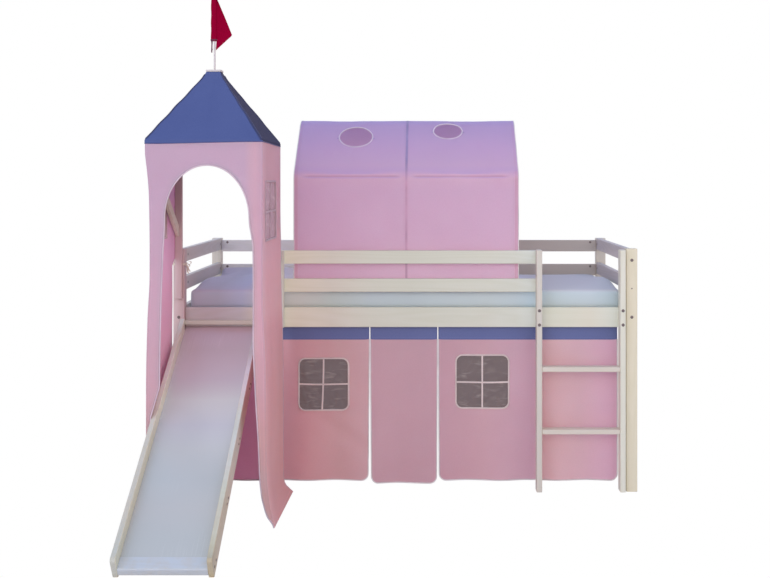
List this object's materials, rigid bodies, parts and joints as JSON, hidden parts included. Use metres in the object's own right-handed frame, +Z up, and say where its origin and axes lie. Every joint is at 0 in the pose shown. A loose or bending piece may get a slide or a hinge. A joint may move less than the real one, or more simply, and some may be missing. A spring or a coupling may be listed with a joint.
{
  "type": "loft bed with slide",
  "caption": "Low loft bed of white painted pine with a ladder, a slide under a cloth tower with a pyramid roof and flag, a cloth tunnel over the bed and a curtain under it.",
  "frame": {"origin": "on the floor, at the middle of the whole footprint, slide included", "axes": "+X along the bed, towards the ladder; +Y from the slide's foot to the back of the bed; +Z up"},
  "size_m": [2.1, 2.1804, 2.236],
  "materials": {
    "white_pine": "white translucent paint, eased edges, faint grain",
    "plain_pine": "planed, untreated",
    "slide_sheet": "smooth sliding laminate, satin",
    "mattress_cover": "pale blue-grey cotton",
    "pink_cotton": "plain woven cotton, pink",
    "blue_cotton": "plain woven cotton, violet blue",
    "crimson_cotton": "plain woven cotton, crimson",
    "hoop_rod": "glass fibre rod",
    "hook_tape": "hook tape"
  },
  "bodies": {
    "bed": {"post_front_left": "white_pine", "post_front_right": "white_pine", "post_back_left": "white_pine", "post_back_right": "white_pine", "beam_front": "white_pine", "beam_back": "white_pine", "beam_left": "white_pine", "beam_right": "white_pine", "guard_back_top": "white_pine", "guard_back_mid": "white_pine", "guard_front_top": "white_pine", "guard_front_mid": "white_pine", "rail_left_top": "white_pine", "rail_left_mid": "white_pine", "rail_right_top": "white_pine", "rail_right_mid": "white_pine", "upright_middle": "white_pine", "slat_ledge_front": "white_pine", "slat_ledge_back": "white_pine", "ladder_stile_left": "white_pine", "ladder_stile_right": "white_pine", "ladder_step_lower": "white_pine", "ladder_step_upper": "white_pine", "slide_board_left": "white_pine", "slide_board_right": "white_pine", "slide_batten_upper": "white_pine", "slide_batten_middle": "white_pine", "slide_batten_lower": "white_pine", "slide_end_strip": "white_pine", "slide_top_cleat": "white_pine", "tower_upright_left": "white_pine", "tower_upright_right": "white_pine", "tower_brace_left": "white_pine", "tower_brace_right": "white_pine", "tower_eave_front": "white_pine", "tower_eave_back": "white_pine", "tower_eave_left": "white_pine", "tower_eave_right": "white_pine", "tower_rafter_front_left": "white_pine", "tower_rafter_front_right": "white_pine", "tower_rafter_back_left": "white_pine", "tower_rafter_back_right": "white_pine", "tower_top_plate": "white_pine", "flag_pole": "white_pine", "slat_base": "plain_pine", "slide_panel": "slide_sheet", "mattress": "mattress_cover", "tower_roof_cover": "blue_cotton", "tower_front_cloth": "pink_cotton", "tower_left_cloth": "pink_cotton", "tower_right_cloth": "pink_cotton", "tunnel_hoop_left": "hoop_rod", "tunnel_hoop_middle": "hoop_rod", "tunnel_hoop_right": "hoop_rod", "tunnel_cover": "pink_cotton", "curtain_tape": "hook_tape"},
    "curtain_left": {"curtain_left": "pink_cotton"},
    "curtain_door": {"curtain_door": "pink_cotton"},
    "curtain_right": {"curtain_right": "pink_cotton"},
    "flag": {"flag": "crimson_cotton"}
  },
  "joints": [
    {"name": "curtain_left_swing", "type": "hinge", "parent": "bed", "child": "curtain_left", "pos_m": [-0.579, 0.14147, 0.7418], "axis": [1, 0, 0], "range_deg": [0, 60]},
    {"name": "curtain_door_swing", "type": "hinge", "parent": "bed", "child": "curtain_door", "pos_m": [-0.008, 0.14147, 0.7418], "axis": [1, 0, 0], "range_deg": [-60, 60]},
    {"name": "curtain_right_swing", "type": "hinge", "parent": "bed", "child": "curtain_right", "pos_m": [0.561, 0.14147, 0.7418], "axis": [1, 0, 0], "range_deg": [0, 60]},
    {"name": "flag_swivel", "type": "hinge", "parent": "bed", "child": "flag", "pos_m": [-0.808, -0.20983, 2.1], "axis": [0, 0, 1], "continuous": true}
  ]
}
